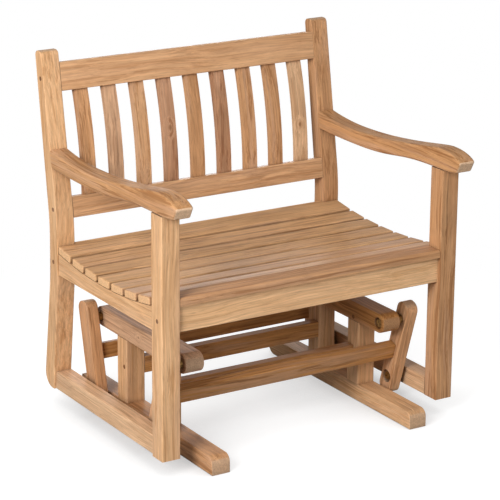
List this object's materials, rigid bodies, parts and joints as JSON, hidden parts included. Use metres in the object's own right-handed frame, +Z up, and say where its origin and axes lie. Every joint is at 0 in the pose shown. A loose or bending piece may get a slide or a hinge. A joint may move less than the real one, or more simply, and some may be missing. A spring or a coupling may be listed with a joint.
{
  "type": "glider chair",
  "caption": "Slatted teak armchair that glides: the seat hangs from a fixed base by swinging links, with a raked slat back, hollowed seat and scrolled arms.",
  "frame": {"origin": "middle of the overall box, on the floor under the runners", "axes": "+Z up, +Y towards the back of the chair, +X to the right as seen from the front"},
  "size_m": [0.82, 0.6738, 0.89],
  "materials": {
    "teak": "sanded, unfinished teak",
    "plug_wood": "dark end-grain plug",
    "steel": "stainless steel",
    "brass": "turned brass"
  },
  "bodies": {
    "base": {"base_plugs": "plug_wood", "base_rail_front": "teak", "base_rail_rear": "teak", "base_screws": "steel", "beam_bushes": "brass", "beam_left": "teak", "beam_right": "teak", "runner_left": "teak", "runner_right": "teak", "upright_front_left": "teak", "upright_front_right": "teak", "upright_rear_left": "teak", "upright_rear_right": "teak"},
    "rear_swing_frame": {"link_rear_left": "teak", "link_rear_right": "teak", "rear_lower_bushes": "brass", "rear_upper_bolts": "steel", "rear_upper_collars": "brass", "stretcher_rear": "teak"},
    "front_swing_frame": {"front_lower_bushes": "brass", "front_upper_bolts": "steel", "front_upper_collars": "brass", "link_front_left": "teak", "link_front_right": "teak", "stretcher_front": "teak"},
    "chair": {"arm_left": "teak", "arm_right": "teak", "back_low_rail": "teak", "back_slat_1": "teak", "back_slat_2": "teak", "back_slat_3": "teak", "back_slat_4": "teak", "back_slat_5": "teak", "back_slat_6": "teak", "back_slat_7": "teak", "back_slat_8": "teak", "back_slat_9": "teak", "back_top_rail": "teak", "chair_plugs": "plug_wood", "chair_screws": "steel", "front_apron": "teak", "front_post_left": "teak", "front_post_right": "teak", "low_rail_left": "teak", "low_rail_right": "teak", "lower_bolts": "steel", "lower_collars": "brass", "rear_post_left": "teak", "rear_post_right": "teak", "rear_seat_rail": "teak", "seat_rail_left": "teak", "seat_rail_right": "teak", "seat_slat_1": "teak", "seat_slat_2": "teak", "seat_slat_3": "teak", "seat_slat_4": "teak", "seat_slat_5": "teak", "seat_slat_6": "teak", "seat_slat_7": "teak", "seat_slat_8": "teak"}
  },
  "joints": [
    {"name": "rear_swing", "type": "hinge", "parent": "base", "child": "rear_swing_frame", "pos_m": [0, 0.216, 0.231], "axis": [1, 0, 0], "range_deg": [-12, 12]},
    {"name": "chair_hang", "type": "hinge", "parent": "rear_swing_frame", "child": "chair", "pos_m": [0, 0.17715, 0.06139], "axis": [1, 0, 0], "range_deg": [-15.8, 15.8]},
    {"name": "front_swing", "type": "hinge", "parent": "base", "child": "front_swing_frame", "pos_m": [0, -0.177, 0.231], "axis": [1, 0, 0], "range_deg": [-12.5, 12.5]}
  ],
  "couplings": [
    {"joint": "chair_hang", "follows": "rear_swing", "ratio": -1.3028},
    {"joint": "front_swing", "follows": "rear_swing", "ratio": 1.0266}
  ]
}
